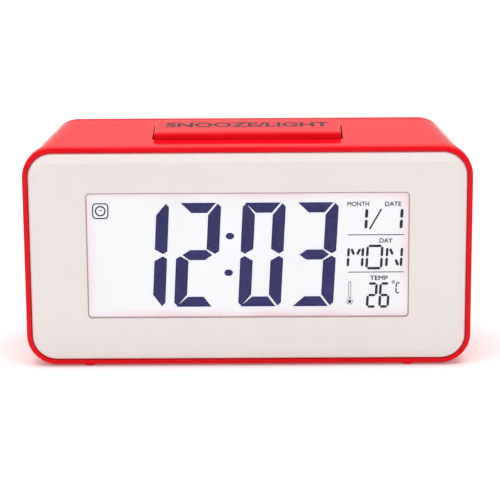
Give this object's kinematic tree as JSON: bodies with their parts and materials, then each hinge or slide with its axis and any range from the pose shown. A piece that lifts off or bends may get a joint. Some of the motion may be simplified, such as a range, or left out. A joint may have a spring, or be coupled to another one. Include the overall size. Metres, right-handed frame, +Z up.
{
  "type": "alarm clock",
  "caption": "Battery desk alarm clock with a liquid-crystal display in a rounded rectangular case, with a wide snooze bar on top.",
  "frame": {"origin": "on the table under the middle of the clock's overall box", "axes": "+X to the right as the display is read, +Y from the display to the back, +Z up"},
  "size_m": [0.135, 0.045, 0.07],
  "materials": {
    "red_abs": "semi-gloss moulded ABS",
    "white_abs": "fine satin moulded ABS",
    "clear_acrylic": "clear polished acrylic",
    "display_glass": "float glass with liquid crystal between",
    "polariser": "thin grey film",
    "light_guide": "frosted acrylic plate",
    "white_film": "white reflector film",
    "tray_abs": "plain moulded ABS",
    "board_green": "glass-epoxy board with solder mask",
    "board_brown": "paper-phenolic board",
    "black_epoxy": "cured epoxy drop",
    "black_nylon": "moulded nylon",
    "tinned_steel": "tinned",
    "plated_steel": "nickel plated",
    "brass": "rolled sheet",
    "silicone_rubber": "moulded silicone",
    "cell_sleeve": "printed film sleeve on the can",
    "lead_red": "PVC insulation",
    "lead_black": "PVC insulation",
    "ribbon_grey": "PVC insulation",
    "led_white": "moulded diode body"
  },
  "bodies": {
    "case": {"backlight_led_left": "led_white", "backlight_led_right": "led_white", "battery_cell_1": "cell_sleeve", "battery_cell_2": "cell_sleeve", "battery_cell_3": "cell_sleeve", "battery_lead_black": "lead_black", "battery_lead_red": "lead_red", "board_screw_1": "plated_steel", "board_screw_2": "plated_steel", "bridge_contact_left": "plated_steel", "bridge_contact_right": "plated_steel", "case_screw_1": "plated_steel", "case_screw_2": "plated_steel", "case_screw_3": "plated_steel", "case_screw_4": "plated_steel", "case_shell": "red_abs", "chip_blob": "black_epoxy", "display_lens": "clear_acrylic", "display_tray": "tray_abs", "down_switch": "black_nylon", "front_bezel": "white_abs", "front_polariser": "polariser", "key_board": "board_brown", "key_ribbon": "ribbon_grey", "lcd_front_glass": "display_glass", "lcd_rear_glass": "display_glass", "light_guide": "light_guide", "light_switch_body": "tinned_steel", "main_board": "board_green", "mode_switch": "black_nylon", "negative_contact": "plated_steel", "piezo_sounder": "brass", "positive_contact": "plated_steel", "quartz_crystal": "tinned_steel", "rear_cover": "red_abs", "rear_polariser": "polariser", "reflector_sheet": "white_film", "set_switch": "black_nylon", "smoothing_capacitor": "lead_black", "snooze_board": "board_brown", "snooze_cable": "ribbon_grey", "snooze_spring_left": "plated_steel", "snooze_spring_right": "plated_steel", "snooze_switch": "black_nylon", "thermistor": "black_epoxy", "up_switch": "black_nylon", "zebra_strip": "silicone_rubber"},
    "snooze_bar": {"snooze_bar": "red_abs"},
    "snooze_plunger": {"snooze_plunger": "silicone_rubber"},
    "battery_door": {"battery_door": "red_abs"},
    "light_switch_slider": {"light_switch_slider": "black_nylon"},
    "mode_button": {"mode_button": "white_abs"},
    "set_button": {"set_button": "white_abs"},
    "up_button": {"up_button": "white_abs"},
    "down_button": {"down_button": "white_abs"},
    "mode_plunger": {"mode_plunger": "silicone_rubber"},
    "set_plunger": {"set_plunger": "silicone_rubber"},
    "up_plunger": {"up_plunger": "silicone_rubber"},
    "down_plunger": {"down_plunger": "silicone_rubber"}
  },
  "joints": [
    {"name": "snooze_press", "type": "slide", "parent": "case", "child": "snooze_bar", "axis": [0, 0, -1], "range_m": [0, 0.0015], "stiffness_N_per_m": 300, "springref_m": -0.001, "deforming": ["snooze_spring_left", "snooze_spring_right"]},
    {"name": "snooze_switch_press", "type": "slide", "parent": "case", "child": "snooze_plunger", "axis": [0, 0, -1], "range_m": [0, 0.00025]},
    {"name": "mode_press", "type": "slide", "parent": "case", "child": "mode_button", "axis": [0, -1, 0], "range_m": [0, 0.0006], "stiffness_N_per_m": 400, "springref_m": -0.0005},
    {"name": "mode_switch_press", "type": "slide", "parent": "case", "child": "mode_plunger", "axis": [0, -1, 0], "range_m": [0, 0.00025]},
    {"name": "set_press", "type": "slide", "parent": "case", "child": "set_button", "axis": [0, -1, 0], "range_m": [0, 0.0006], "stiffness_N_per_m": 400, "springref_m": -0.0005},
    {"name": "set_switch_press", "type": "slide", "parent": "case", "child": "set_plunger", "axis": [0, -1, 0], "range_m": [0, 0.00025]},
    {"name": "up_press", "type": "slide", "parent": "case", "child": "up_button", "axis": [0, -1, 0], "range_m": [0, 0.0006], "stiffness_N_per_m": 400, "springref_m": -0.0005},
    {"name": "up_switch_press", "type": "slide", "parent": "case", "child": "up_plunger", "axis": [0, -1, 0], "range_m": [0, 0.00025]},
    {"name": "down_press", "type": "slide", "parent": "case", "child": "down_button", "axis": [0, -1, 0], "range_m": [0, 0.0006], "stiffness_N_per_m": 400, "springref_m": -0.0005},
    {"name": "down_switch_press", "type": "slide", "parent": "case", "child": "down_plunger", "axis": [0, -1, 0], "range_m": [0, 0.00025]},
    {"name": "light_switch_slide", "type": "slide", "parent": "case", "child": "light_switch_slider", "axis": [1, 0, 0], "range_m": [0, 0.003]},
    {"name": "battery_door_hinge", "type": "hinge", "parent": "case", "child": "battery_door", "pos_m": [0, 0.02, 0.0076], "axis": [-1, 0, 0], "range_deg": [0, 90]}
  ],
  "couplings": [
    {"joint": "snooze_switch_press", "follows": "snooze_press", "ratio": 0.16667},
    {"joint": "mode_switch_press", "follows": "mode_press", "ratio": 0.41667},
    {"joint": "set_switch_press", "follows": "set_press", "ratio": 0.41667},
    {"joint": "up_switch_press", "follows": "up_press", "ratio": 0.41667},
    {"joint": "down_switch_press", "follows": "down_press", "ratio": 0.41667}
  ]
}
